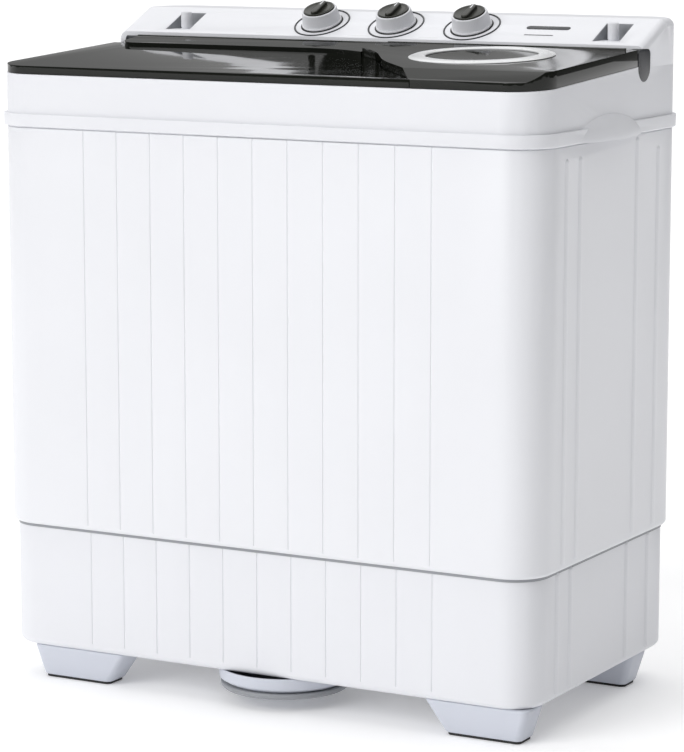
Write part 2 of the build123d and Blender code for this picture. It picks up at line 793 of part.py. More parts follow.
ring_outer_r = 80.0
ring_inner_r = 61.5
ring_height = 2.6
ring_centre = lid_plane.from_local_coords(Vector(spin_x + 3, spin_y + half_depth, lid_top))
with BuildPart() as spin_lid_ring:
    with BuildSketch(Plane(origin=ring_centre, x_dir=(1, 0, 0), z_dir=lid_plane.y_dir * -1)):
        with BuildLine():
            Polyline(
                (ring_inner_r, 0), (ring_outer_r, 0), (ring_outer_r, 0.8),
                (ring_outer_r - 5, ring_height), (ring_inner_r + 2, ring_height),
                (ring_inner_r, ring_height - 1), close=True,
            )
        make_face()
    revolve(axis=Axis(ring_centre, lid_normal))
save(spin_lid_ring, "spin_lid_ring")

# ----------------------------------------------------------------------- wash tub
pan_r = 111.0
pan_depth = 10.0
sump_x = -22.0
sump_y = 28.0
sump_r = 17.0
sump_bottom = tub_floor - 22.0
seal_r = 14.0

with BuildPart() as wash_room:
    block(wash_w - 2 * wall, wash_d - 2 * wall, wash_r - wall, tub_floor + wall, deck_z,
          at=(wash_x, wash_y))
    fillet(edges_at(tub_floor + wall), radius=10)

with BuildPart() as wash_tub:
    block(wash_w, wash_d, wash_r, tub_floor, deck_z, at=(wash_x, wash_y))
    fillet(wash_tub.faces().sort_by(Axis.Z)[0].edges(), radius=12)
    disc(wash_x, wash_y, pan_r, tub_floor - pan_depth, tub_floor)
    disc(sump_x, sump_y, sump_r + wall, sump_bottom, tub_floor + wall)
    add(wash_room.part, mode=Mode.SUBTRACT)
    disc(wash_x, wash_y, pan_r - wall, tub_floor - pan_depth + wall, tub_floor + wall,
         mode=Mode.SUBTRACT)
    disc(wash_x, wash_y, seal_r, tub_floor - pan_depth, tub_floor, mode=Mode.SUBTRACT)
    disc(sump_x, sump_y, sump_r, sump_bottom + wall, tub_floor + wall, mode=Mode.SUBTRACT)
    disc(sump_x, sump_y, 9, sump_bottom, tub_floor, mode=Mode.SUBTRACT)
save(wash_tub, "wash_tub")

with BuildPart() as drain_grille:
    disc(sump_x, sump_y, sump_r + 6, tub_floor + wall, tub_floor + wall + 1.6)
    disc(sump_x, sump_y, sump_r - 0.5, tub_floor + wall - 6, tub_floor + wall)
    with Locations((sump_x, sump_y, tub_floor + wall - 2)):
        with PolarLocations(9, 8):
            Cylinder(2.2, 12, mode=Mode.SUBTRACT)
        Cylinder(2.2, 12, mode=Mode.SUBTRACT)
save(drain_grille, "drain_grille")

filter_x = wash_x + wash_w / 2 - wall
with BuildPart() as lint_filter:
    box(filter_x - 16, filter_x, -90, -20, 420, 560)
    fillet(lint_filter.edges().filter_by(Axis.Z).group_by(Axis.X)[0], radius=10)
    box(filter_x - 13.5, filter_x - 2.5, -87, -23, 423, 561, mode=Mode.SUBTRACT)
    with BuildSketch(Plane.YZ.offset(filter_x - 17)):
        with Locations((-55, 485)):
            with GridLocations(10, 14, 5, 7):
                SlotOverall(10, 4, rotation=90)
    extrude(amount=4, mode=Mode.SUBTRACT)
save(lint_filter, "lint_filter")

# ------------------------------------------------------------------- wash drive
pulsator_r = 104.0
pulsator_low = tub_floor - pan_depth + wall + 2.5
pulsator_thick = 5.0
vane_count = 6
housing_r = 24.0
housing_low = 92.0
pan_bottom = tub_floor - pan_depth
shaft_low = 46.0
shaft_top = pulsator_low + 16.0

with BuildPart() as pulsator:
    disc(wash_x, wash_y, pulsator_r, pulsator_low, pulsator_low + pulsator_thick)
    fillet(pulsator.edges().sort_by(Axis.Z)[-1], radius=2)
    with BuildSketch(Plane.XZ.offset(-wash_y)):
        with BuildLine():
            Polyline((wash_x, pulsator_low + 2), (wash_x + 46, pulsator_low + 4))
            Spline((wash_x + 46, pulsator_low + 4), (wash_x + 24, pulsator_low + 20),
                   (wash_x, pulsator_low + 26), tangents=((-1, 0.2), (-1, 0)))
            Line((wash_x, pulsator_low + 26), (wash_x, pulsator_low + 2))
        make_face()
    revolve(axis=Axis((wash_x, wash_y, 0), (0, 0, 1)))
    with BuildSketch(Plane.XY.offset(pulsator_low + pulsator_thick - 1)):
        with Locations((wash_x, wash_y)):
            with PolarLocations(62, vane_count):
                SlotOverall(72, 15, rotation=16)
    extrude(amount=17, taper=12)
    disc(wash_x, wash_y, shaft_r + 0.02, pulsator_low - 1, shaft_top, mode=Mode.SUBTRACT)
    disc(wash_x, wash_y, 4.5, shaft_top - 1, pulsator_low + 30, mode=Mode.SUBTRACT)
    with Locations((wash_x, wash_y, pulsator_low + 2)):
        with PolarLocations(92, 24):
            Cylinder(2.5, 12, mode=Mode.SUBTRACT)
save(pulsator, "pulsator")

with BuildPart() as pulsator_screw:
    disc(wash_x, wash_y, 4.4, shaft_top, pulsator_low + 26)
    disc(wash_x, wash_y, 8, pulsator_low + 26, pulsator_low + 29)
    fillet(pulsator_screw.edges().sort_by(Axis.Z)[-1], radius=1.5)
    box(wash_x - 6, wash_x + 6, wash_y - 0.9, wash_y + 0.9, pulsator_low + 27.6,
        pulsator_low + 30, mode=Mode.SUBTRACT)
save(pulsator_screw, "pulsator_screw")

with BuildPart() as pulsator_shaft:
    disc(wash_x, wash_y, shaft_r, shaft_low, shaft_top)
save(pulsator_shaft, "pulsator_shaft")

with BuildPart() as shaft_housing:
    disc(wash_x, wash_y, 46, pan_bottom - 6, pan_bottom)
    disc(wash_x, wash_y, housing_r, housing_low, pan_bottom - 6)
    for turn in range(4):
        with Locations(Location((wash_x, wash_y, pan_bottom - 20), (0, 0, 90 * turn))):
            with Locations((housing_r + 9, 0, 0)):
                Box(22, 5, 28)
    disc(wash_x, wash_y, 16, housing_low, pan_bottom, mode=Mode.SUBTRACT)
save(shaft_housing, "shaft_housing")

with BuildPart() as shaft_bearings:
    for z in (housing_low + 2, pan_bottom - 26):
        disc(wash_x, wash_y, 15.95, z, z + 12)
    disc(wash_x, wash_y, shaft_r + fit, housing_low, pan_bottom, mode=Mode.SUBTRACT)
save(shaft_bearings, "shaft_bearings")

with BuildPart() as shaft_seal:
    disc(wash_x, wash_y, seal_r - 0.05, pan_bottom - 9, pan_bottom + 4)
    disc(wash_x, wash_y, shaft_r + fit, pan_bottom - 10, pan_bottom + 5, mode=Mode.SUBTRACT)
save(shaft_seal, "shaft_seal")


def pulley(x, y, r, bore, hub_r, hub_low, hub_top):
    """A belt pulley with a groove round its rim."""
    half = belt_width / 2 + 3.5
    disc(x, y, r, belt_z - half, belt_z + half)
    with BuildSketch(Plane.XY.offset(belt_z - belt_width / 2 - 1)) as groove:
        with Locations((x, y)):
            Circle(r + 1)
            Circle(r - belt_thick - 0.8, mode=Mode.SUBTRACT)
    extrude(groove.sketch, amount=belt_width + 2, mode=Mode.SUBTRACT)
    disc(x, y, hub_r, hub_low, hub_top)
    disc(x, y, bore, hub_low - 1, hub_top + 1, mode=Mode.SUBTRACT)


with BuildPart() as pulsator_pulley:
    pulley(wash_x, wash_y, pulley_r, shaft_r + 0.02, 15, belt_z - 9, belt_z + 16)
    with BuildSketch(Plane.XY.offset(belt_z - 12)):
        with Locations((wash_x, wash_y)):
            with PolarLocations(43, 6):
                Circle(16)
    extrude(amount=24, mode=Mode.SUBTRACT)
save(pulsator_pulley, "pulsator_pulley")

with BuildPart() as drive_belt:
    for shrink, mode in ((0, Mode.ADD), (belt_thick, Mode.SUBTRACT)):
        with BuildSketch(Plane.XY.offset(belt_z - belt_width / 2)) as loop:
            with Locations((wash_x, wash_y)):
                Circle(pulley_r - shrink)
            with Locations((motor_x, motor_y)):
                Circle(motor_pulley_r - shrink)
            make_hull()
        extrude(amount=belt_width, mode=mode)
save(drive_belt, "drive_belt")

motor_low = 80.0
motor_high = 152.0
motor_r = 54.0

with BuildPart() as motor_pulley:
    pulley(motor_x, motor_y, motor_pulley_r, 5.02, 9, belt_z - 7, belt_z + 12)
save(motor_pulley, "motor_pulley")

with BuildPart() as motor_shaft:
    disc(motor_x, motor_y, 5, belt_z - 10, motor_low + 40)
save(motor_shaft, "motor_shaft")


def motor_can(x, y, r, low, high):
    """A laminated core between two domed end shields."""
    core_low = low + (high - low) * 0.3
    core_high = low + (high - low) * 0.7
    disc(x, y, r - 5, low, high)
    fillet(edges_at(low), radius=8)
    fillet(edges_at(high), radius=8)
    with BuildSketch(Plane.XY.offset(core_low)) as core:
        with Locations((x, y)):
            RectangleRounded(2 * r - 8, 2 * r - 8, 22)
            Circle(r, mode=Mode.INTERSECT)
    extrude(core.sketch, amount=core_high - core_low)


with BuildPart() as wash_motor:
    motor_can(motor_x, motor_y, motor_r, motor_low, motor_high)
    disc(motor_x, motor_y, 5 + fit, motor_low - 1, motor_low + 42, mode=Mode.SUBTRACT)
save(wash_motor, "wash_motor")

bracket_plate = 3.0
bracket_reach = 59.0
with BuildPart() as wash_motor_bracket:
    block(2 * bracket_reach, 2 * bracket_reach, 14, motor_low - bracket_plate, motor_low,
          at=(motor_x, motor_y))
    disc(motor_x, motor_y, 24, motor_low - bracket_plate, motor_low, mode=Mode.SUBTRACT)
    for side_x in (-1, 1):
        for side_y in (-1, 1):
            leg_x = motor_x + side_x * (bracket_reach - 9)
            leg_y = motor_y + side_y * (bracket_reach - 9)
            if (side_x, side_y) != (-1, 1):
                disc(leg_x, leg_y, 6, base_floor, motor_low - bracket_plate)
save(wash_motor_bracket, "wash_motor_bracket")

# ----------------------------------------------------------------------- spin tub
spin_drain_x = spin_x
spin_drain_y = spin_y + 88.0
bellows_r = 30.0

with BuildPart() as spin_room:
    disc(spin_x, spin_y, spin_tub_r - wall, spin_tub_floor + wall, deck_z)
    fillet(edges_at(spin_tub_floor + wall), radius=8)

with BuildPart() as spin_outer_tub:
    disc(spin_x, spin_y, spin_tub_r, spin_tub_floor, deck_z)
    fillet(edges_at(spin_tub_floor), radius=10)
    add(spin_room.part, mode=Mode.SUBTRACT)
    disc(spin_x, spin_y, bellows_r, spin_tub_floor, spin_tub_floor + wall, mode=Mode.SUBTRACT)
    disc(spin_drain_x, spin_drain_y, 12, spin_tub_floor - 14, spin_tub_floor + wall)
    disc(spin_drain_x, spin_drain_y, 9, spin_tub_floor - 15, spin_tub_floor + wall + 1,
         mode=Mode.SUBTRACT)
save(spin_outer_tub, "spin_outer_tub")

with BuildPart() as spin_bellows:
    with BuildSketch(Plane.XZ.offset(-spin_y)):
        with BuildLine():
            Polyline(
                (spin_x + shaft_r + fit, 200), (spin_x + 13, 200), (spin_x + 13, 208),
                (spin_x + 20, 202), (spin_x + 26, 210), (spin_x + 38, 210),
                (spin_x + 38, spin_tub_floor), (spin_x + bellows_r - 0.1, spin_tub_floor),
                (spin_x + bellows_r - 0.1, spin_tub_floor + 6), (spin_x + 25, spin_tub_floor + 6),
                (spin_x + 25, 214), (spin_x + 20, 207), (spin_x + 14, 213),
                (spin_x + shaft_r + fit, 213), close=True,
            )
        make_face()
    revolve(axis=Axis((spin_x, spin_y, 0), (0, 0, 1)))
save(spin_bellows, "spin_bellows")

# ------------------------------------------------------------------- spin basket
basket_low = 230.0
basket_high = 612.0
basket_wall = 2.5
hub_r = 20.0
ring_band = 18.0
basket_rows = 6
basket_columns = 12
row_pitch = 60.0
hole_r = 3.2

with BuildPart() as basket_room:
    disc(spin_x, spin_y, basket_r - basket_wall, basket_low + basket_wall + 1, basket_high)
    fillet(edges_at(basket_low + basket_wall + 1), radius=6)

with BuildPart() as spin_basket:
    disc(spin_x, spin_y, basket_r, basket_low, basket_high)
    fillet(edges_at(basket_low), radius=8)
    add(basket_room.part, mode=Mode.SUBTRACT)
    with BuildSketch(Plane.XY.offset(basket_low)):
        with Locations((spin_x, spin_y)):
            Circle(34)
    extrude(amount=20, taper=40)
    with Locations((spin_x, spin_y, basket_low + 3)):
        with PolarLocations(70, 12):
            Cylinder(hole_r, 12, mode=Mode.SUBTRACT)
    for row in range(basket_rows):
        row_z = basket_low + 44 + row * row_pitch
        turn = 180 / basket_columns * (row % 2)
        for column in range(basket_columns // 2):
            with Locations(Location((spin_x, spin_y, row_z),
                                    (0, 0, turn + column * 360 / basket_columns))):
                Cylinder(hole_r, 2 * basket_r + 4, rotation=(90, 0, 0), mode=Mode.SUBTRACT)
    disc(spin_x, spin_y, shaft_r + 0.02, basket_low - 1, basket_low + 24, mode=Mode.SUBTRACT)
save(spin_basket, "spin_basket")

with BuildPart() as balance_ring:
    disc(spin_x, spin_y, basket_r, basket_high, basket_high + ring_band)
    disc(spin_x, spin_y, basket_r - 16, basket_high, basket_high + ring_band, mode=Mode.SUBTRACT)
    fillet(edges_at(basket_high + ring_band), radius=4)
save(balance_ring, "balance_ring")

spin_shaft_low = 128.0
with BuildPart() as spin_shaft:
    disc(spin_x, spin_y, shaft_r, spin_shaft_low, basket_low + 34)
save(spin_shaft, "spin_shaft")

with BuildPart() as basket_nut:
    with BuildSketch(Plane.XY.offset(basket_low + 20)):
        with Locations((spin_x, spin_y)):
            RegularPolygon(9.5, 6)
            Circle(shaft_r + 0.02, mode=Mode.SUBTRACT)
    extrude(amount=9)
save(basket_nut, "basket_nut")

drum_r = 38.0
drum_low = 152.0
drum_high = 172.0
with BuildPart() as brake_drum:
    disc(spin_x, spin_y, drum_r, drum_low, drum_high)
    disc(spin_x, spin_y, drum_r - 5, drum_low + 4, drum_high, mode=Mode.SUBTRACT)
    disc(spin_x, spin_y, 13, drum_low, drum_high + 18)
    disc(spin_x, spin_y, shaft_r + 0.02, drum_low - 1, drum_high + 20, mode=Mode.SUBTRACT)
save(brake_drum, "brake_drum")

spin_motor_low = 66.0
spin_motor_high = 144.0
spin_motor_r = 56.0
with BuildPart() as spin_motor:
    motor_can(spin_x, spin_y, spin_motor_r, spin_motor_low, spin_motor_high)
    disc(spin_x, spin_y, shaft_r + fit, spin_shaft_low - 1, spin_motor_high + 1,
         mode=Mode.SUBTRACT)
save(spin_motor, "spin_motor")

mount_reach = 76.0
mount_high = 88.0
brake_pivot_x = spin_x - 48.0
brake_pivot_y = spin_y - 63.0
brake_pin_r = 3.0
arm_thick = 4.0
with BuildPart() as spin_motor_carrier:
    with BuildSketch(Plane.XY.offset(mount_high)):
        with Locations((spin_x, spin_y)):
            Circle(spin_motor_r + 7)
            with PolarLocations(mount_reach - 12, 3, start_angle=30):
                SlotOverall(52, 26)
        with Locations((brake_pivot_x + 6, brake_pivot_y + 6)):
            SlotOverall(44, 20, rotation=45)
        with Locations((spin_x, spin_y)):
            Circle(spin_motor_r + 1.0, mode=Mode.SUBTRACT)
    extrude(amount=arm_thick)
    disc(brake_pivot_x, brake_pivot_y, 6.5, mount_high, drum_low - 1)
    disc(brake_pivot_x, brake_pivot_y, brake_pin_r, mount_high, drum_high + 1)
    # tabs that clasp the motor's core
    with Locations((spin_x, spin_y, mount_high + arm_thick / 2)):
        with PolarLocations(spin_motor_r + 0.5, 4):
            Box(9, 18, arm_thick)
save(spin_motor_carrier, "spin_motor_carrier")

with BuildPart() as motor_mounts:
    with Locations((spin_x, spin_y, (base_floor + mount_high) / 2)):
        with PolarLocations(mount_reach, 3, start_angle=30):
            Cylinder(7, mount_high - base_floor)
    for turn in range(5):
        z = base_floor + 6 + turn * (mount_high - base_floor - 12) / 4
        with Locations((spin_x, spin_y, z)):
            with PolarLocations(mount_reach, 3, start_angle=30):
                Cylinder(11, 4)
save(motor_mounts, "motor_mounts")

# ------------------------------------------------------------------- basket brake
brake_gap = 2.0
lever_half = 3.0
shoe_x = spin_x - drum_r - brake_gap
with BuildPart() as brake_lever:
    with BuildSketch(Plane.XY.offset(drum_low + 2)):
        with Locations((brake_pivot_x, brake_pivot_y)):
            Circle(7.5)
        with Locations((brake_pivot_x, brake_pivot_y + 52)):
            SlotOverall(118, 2 * lever_half, rotation=90)
        with Locations((brake_pivot_x, brake_pivot_y)):
            Circle(brake_pin_r + fit, mode=Mode.SUBTRACT)
    extrude(amount=drum_high - drum_low - 6)
save(brake_lever, "brake_lever")

with BuildPart() as brake_shoe:
    with BuildSketch(Plane.XY.offset(drum_low + 3)):
        with Locations(((brake_pivot_x + lever_half + shoe_x) / 2, spin_y)):
            Rectangle(shoe_x - brake_pivot_x - lever_half, 30)
        with Locations((spin_x, spin_y)):
            Circle(drum_r + brake_gap, mode=Mode.SUBTRACT)
    extrude(amount=drum_high - drum_low - 8)
save(brake_shoe, "brake_shoe")

# --------------------------------------------------------------------- drain path
valve_x = outlet_x
valve_y = 118.0
valve_r = 20.0
valve_low = outlet_z - 20.0
valve_high = outlet_z + 34.0
plunger_r = 14.0
outlet_r = 12.0
outlet_bore = 9.0
outlet_tip_y = base_d / 2 + 8.0
outlet_neck_y = base_d / 2 - pocket_depth + 2.0
tee_z = outlet_z + 14.0

with BuildPart() as drain_valve:
    disc(valve_x, valve_y, valve_r, valve_low, valve_high)
    bar_y(valve_x, valve_y, outlet_neck_y, outlet_z, outlet_r - 0.5)
    bar_y(valve_x, outlet_neck_y, outlet_tip_y, outlet_z, outlet_r)
    bar_y(valve_x, base_d / 2 - pocket_depth - wall - 5, base_d / 2 - pocket_depth - wall,
          outlet_z, 17)
    chamfer(drain_valve.faces().sort_by(Axis.Y)[-1].edges(), length=1)
    bar_x(valve_x - 36, valve_x, valve_y, tee_z, 10)
    bar_x(valve_x, valve_x + 36, valve_y, tee_z, 10)
    disc(valve_x, valve_y, valve_r - wall, valve_low + wall, valve_high - wall,
         mode=Mode.SUBTRACT)
    disc(valve_x, valve_y, 5.0, valve_high - wall - 1, valve_high + 1, mode=Mode.SUBTRACT)
    bar_y(valve_x, valve_y, outlet_tip_y + 1, outlet_z, outlet_bore, mode=Mode.SUBTRACT)
    bar_x(valve_x - 37, valve_x + 37, valve_y, tee_z, 7.5, mode=Mode.SUBTRACT)
    # seat of the plunger, between the inlets and the outlet
    disc(valve_x, valve_y, valve_r - wall + 0.5, outlet_z - 1.5, outlet_z + 1.5)
    disc(valve_x, valve_y, 11, outlet_z - 2, outlet_z + 2, mode=Mode.SUBTRACT)
save(drain_valve, "drain_valve")

with BuildPart() as valve_plunger:
    disc(valve_x, valve_y, plunger_r, outlet_z + 1.9, outlet_z + 8)
    fillet(edges_at(outlet_z + 8), radius=2)
    disc(valve_x, valve_y, 4.0, outlet_z + 7, valve_high + 26)
    bar_x(valve_x - 3, valve_x + 3, valve_y, valve_high + 26, 7)
    bar_x(valve_x - 4, valve_x + 4, valve_y, valve_high + 26, 3.5, mode=Mode.SUBTRACT)
save(valve_plunger, "valve_plunger")


def hose(points, bends, outer, inner):
    """A flexible pipe along straight runs joined by arcs."""
    with BuildLine() as path:
        FilletPolyline(*points, radius=bends)
    start = path.line @ 0
    heading = path.line % 0
    with BuildSketch(Plane(origin=start, z_dir=heading)) as ring:
        Circle(outer)
        Circle(inner, mode=Mode.SUBTRACT)
    sweep(ring.sketch, path=path.line)


hose_r = 12.4
with BuildPart() as wash_drain_hose:
    hose(
        ((sump_x, sump_y, sump_bottom), (sump_x, sump_y, 125), (sump_x, valve_y, tee_z),
         (valve_x - 20.5, valve_y, tee_z)),
        24, hose_r, hose_r - 2.3,
    )
save(wash_drain_hose, "wash_drain_hose")

with BuildPart() as spin_drain_hose:
    hose(
        ((spin_drain_x, spin_drain_y, spin_tub_floor - 14), (spin_drain_x, spin_drain_y, 150),
         (spin_drain_x - 30, valve_y, 120), (spin_drain_x - 60, valve_y, tee_z),
         (valve_x + 20.5, valve_y, tee_z)),
        18, hose_r, hose_r - 2.3,
    )
save(spin_drain_hose, "spin_drain_hose")

# --------------------------------------------------------------------- electrical
capacitor_x = -250.0
capacitor_y = 130.0
with BuildPart() as capacitors:
    for x in (capacitor_x, capacitor_x + 60):
        disc(x, capacitor_y, 19, base_floor + 1.5, base_floor + 68)
    fillet(edges_at(base_floor + 68), radius=3)
    for x in (capacitor_x, capacitor_x + 60):
        for terminal in (-6, 6):
            box(x + terminal - 0.5, x + terminal + 0.5, capacitor_y - 3, capacitor_y + 3,
                base_floor + 68, base_floor + 76)
    box(capacitor_x - 30, capacitor_x + 90, capacitor_y - 24, capacitor_y + 24, base_floor,
        base_floor + 1.5)
save(capacitors, "capacitors")

switch_x = 262.0
switch_y = console_front_y + wall
with BuildPart() as lid_switch:
    box(switch_x, switch_x + 20, switch_y, switch_y + 22, console_joint + 1, console_joint + 16)
    box(switch_x + 4, switch_x + 16, switch_y + 22, switch_y + 28, console_joint + 6,
        console_joint + 10)
save(lid_switch, "lid_switch")
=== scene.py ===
import json
import math

import bmesh
import bpy
from mathutils import Matrix, Vector


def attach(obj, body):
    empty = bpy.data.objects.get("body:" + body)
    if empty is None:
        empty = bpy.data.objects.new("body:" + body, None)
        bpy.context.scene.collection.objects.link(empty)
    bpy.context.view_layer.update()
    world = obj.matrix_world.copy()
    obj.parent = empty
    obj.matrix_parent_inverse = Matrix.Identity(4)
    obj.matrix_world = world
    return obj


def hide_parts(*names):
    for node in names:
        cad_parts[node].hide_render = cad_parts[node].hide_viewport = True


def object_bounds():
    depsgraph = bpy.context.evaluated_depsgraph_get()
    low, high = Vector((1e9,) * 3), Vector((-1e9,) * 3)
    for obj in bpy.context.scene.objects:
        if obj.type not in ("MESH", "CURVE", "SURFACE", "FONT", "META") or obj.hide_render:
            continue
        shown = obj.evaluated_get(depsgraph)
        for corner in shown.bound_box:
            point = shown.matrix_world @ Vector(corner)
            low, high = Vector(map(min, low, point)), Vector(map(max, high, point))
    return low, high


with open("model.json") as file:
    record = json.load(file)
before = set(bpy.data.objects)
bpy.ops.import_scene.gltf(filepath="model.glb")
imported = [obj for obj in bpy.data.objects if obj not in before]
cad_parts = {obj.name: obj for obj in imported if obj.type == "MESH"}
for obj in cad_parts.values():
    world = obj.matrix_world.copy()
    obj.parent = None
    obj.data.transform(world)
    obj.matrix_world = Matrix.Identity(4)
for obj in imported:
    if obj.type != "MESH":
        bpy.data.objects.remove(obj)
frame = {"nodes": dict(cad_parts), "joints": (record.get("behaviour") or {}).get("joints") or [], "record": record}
cad_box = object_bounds()
nodes = frame["nodes"]
slot_of = {s["node"]: s["material_slot"] for s in frame["record"]["subparts"]}
body_of = {n: b for b, members in frame["record"]["behaviour"]["bodies"].items() for n in members}
MM = 0.001

# ------------------------------------------------------------------------- camera
# from the front right and a little above, through a long lens
camera_place = (1.7249, -3.1097, 0.9204)
camera_forward = Vector((-0.47805, 0.86388, -0.15867))
camera_lens = 150.9

camera_data = bpy.data.cameras.new("camera")
camera_data.sensor_width = 36
camera_data.lens = camera_lens
camera_data.clip_start = 0.1
camera_data.clip_end = 100
camera = bpy.data.objects.new("camera", camera_data)
camera.location = camera_place
camera.rotation_euler = camera_forward.to_track_quat("-Z", "Y").to_euler()
bpy.context.scene.collection.objects.link(camera)
bpy.context.scene.camera = camera

# ---------------------------------------------------------------------- materials
noise_low, noise_high = 0.3, 0.7   # the part of the noise's range that a drift is spread over
grain_height = 0.2 * MM
least_rough = 0.02


def material(name, colour, rough, metal=0.0, vary=0.06, vary_scale=6.0, rough_vary=0.06,
             bump=0.0, bump_scale=900.0, specular=0.5, stretch=(1, 1, 1)):
    """A procedural finish: slow colour drift, uneven gloss and a fine moulded or brushed grain."""
    m = bpy.data.materials.new(name)
    m.use_nodes = True
    tree = m.node_tree
    shader = tree.nodes["Principled BSDF"]
    shader.inputs["Metallic"].default_value = metal
    shader.inputs["Specular IOR Level"].default_value = specular
    place = tree.nodes.new("ShaderNodeTexCoord")
    mapping = tree.nodes.new("ShaderNodeMapping")
    mapping.inputs["Scale"].default_value = stretch
    tree.links.new(place.outputs["Object"], mapping.inputs["Vector"])

    def noise(scale, detail):
        texture = tree.nodes.new("ShaderNodeTexNoise")
        texture.inputs["Scale"].default_value = scale
        texture.inputs["Detail"].default_value = detail
        tree.links.new(mapping.outputs["Vector"], texture.inputs["Vector"])
        return texture.outputs["Fac"]

    ramp = tree.nodes.new("ShaderNodeValToRGB")
    darker, lighter = ramp.color_ramp.elements
    darker.position = noise_low
    lighter.position = noise_high
    darker.color = (*[c * (1 - vary) for c in colour], 1)
    lighter.color = (*[min(1, c * (1 + vary)) for c in colour], 1)
    tree.links.new(noise(scale=vary_scale, detail=5), ramp.inputs["Fac"])
    tree.links.new(ramp.outputs["Color"], shader.inputs["Base Color"])

    spread = tree.nodes.new("ShaderNodeMapRange")
    spread.inputs["From Min"].default_value = noise_low
    spread.inputs["From Max"].default_value = noise_high
    spread.inputs["To Min"].default_value = max(least_rough, rough - rough_vary)
    spread.inputs["To Max"].default_value = min(1, rough + rough_vary)
    tree.links.new(noise(scale=vary_scale * 4, detail=6), spread.inputs["Value"])
    tree.links.new(spread.outputs["Result"], shader.inputs["Roughness"])

    if bump:
        relief = tree.nodes.new("ShaderNodeBump")
        relief.inputs["Strength"].default_value = bump
        relief.inputs["Distance"].default_value = grain_height
        tree.links.new(noise(scale=bump_scale, detail=3), relief.inputs["Height"])
        tree.links.new(relief.outputs["Normal"], shader.inputs["Normal"])
    return m


looks = {
    "white_plastic": dict(colour=(0.785, 0.792, 0.825), rough=0.4, vary=0.01, rough_vary=0.02,
                          bump=0.1, specular=0.3),
    "pale_grey_plastic": dict(colour=(0.605, 0.63, 0.7), rough=0.4, vary=0.012, rough_vary=0.03,
                              bump=0.12),
    "white_steel": dict(colour=(0.80, 0.807, 0.838), rough=0.36, vary=0.01, rough_vary=0.02,
                        bump=0.06, bump_scale=420),
    "tub_plastic": dict(colour=(0.72, 0.74, 0.76), rough=0.4, vary=0.03, bump=0.15),
    "dark_lid": dict(colour=(0.0085, 0.0095, 0.0075), rough=0.06, vary=0.12, rough_vary=0.02,
                     bump=0.02, bump_scale=60, specular=0.3),
    "slate_plastic": dict(colour=(0.014, 0.016, 0.021), rough=0.3, vary=0.1, bump=0.15,
                          specular=0.3),
    "silver_trim": dict(colour=(0.78, 0.79, 0.8), rough=0.25, vary=0.03, bump=0.05),
    "grey_plastic": dict(colour=(0.3, 0.31, 0.33), rough=0.45, vary=0.06, bump=0.2),
    "olive_cap": dict(colour=(0.026, 0.027, 0.021), rough=0.3, vary=0.12, bump=0.1,
                      specular=0.3),
    "steel": dict(colour=(0.6, 0.6, 0.61), rough=0.3, metal=1, vary=0.06, bump=0.15,
                  stretch=(1, 1, 14)),
    "galvanised": dict(colour=(0.55, 0.57, 0.59), rough=0.42, metal=1, vary=0.16, vary_scale=45,
                       bump=0.15),
    "motor_iron": dict(colour=(0.05, 0.05, 0.055), rough=0.55, metal=0.3, vary=0.2,
                       vary_scale=30, bump=0.4, bump_scale=500),
    "brass": dict(colour=(0.62, 0.44, 0.2), rough=0.35, metal=1, vary=0.1, bump=0.15),
    "black_rubber": dict(colour=(0.018, 0.018, 0.019), rough=0.7, vary=0.2, bump=0.4),
    "grey_rubber": dict(colour=(0.12, 0.12, 0.125), rough=0.6, vary=0.12, bump=0.35,
                        bump_scale=600),
}
finish = {name: material(name, **look) for name, look in looks.items()}

for name, node in nodes.items():
    node.data.materials.clear()
    node.data.materials.append(finish[slot_of[name]])


def object_from(name, mesh, body, slot):
    """A piece that shows a mesh, rides on a body and wears a slot's finish."""
    piece = bpy.data.objects.new(name, mesh)
    bpy.context.scene.collection.objects.link(piece)
    mesh.materials.clear()
    mesh.materials.append(finish[slot])
    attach(piece, body)
    return piece


# ---------------------------------------------------------------- softened casing
bevel_steps = 3
bevel_angle = math.radians(28)
weld_distance = 0.02 * MM
flat_angle = math.radians(1.0)

# the wash lid lies on a slope that rises towards the rear from the lid's front edge
lid_slope = math.radians(3.03)
lid_front_y, lid_front_z = -0.1925, 0.6947
lid_top = 9 * MM
top_margin = 0.3 * MM
# its raised strip, measured along that slope
strip_front, strip_depth, strip_end = 0.2115, 0.043, 0.2546
share_at_front, share_at_rear = 0.58, 0.92   # how much of its height the strip keeps


def slope_strip(form):
    """Let the raised strip at the rear of the wash lid slope down to its front edge."""
    for vert in form.verts:
        y, z = vert.co.y - lid_front_y, vert.co.z - lid_front_z
        along = y * math.cos(lid_slope) + z * math.sin(lid_slope)
        height = z * math.cos(lid_slope) - y * math.sin(lid_slope)
        if height > lid_top + top_margin and along < strip_end:
            rise = (share_at_rear - share_at_front) * (along - strip_front) / strip_depth
            share = min(share_at_rear, max(share_at_front, share_at_front + rise))
            drop = (1 - share) * (height - lid_top)
            vert.co.y += drop * math.sin(lid_slope)
            vert.co.z -= drop * math.cos(lid_slope)


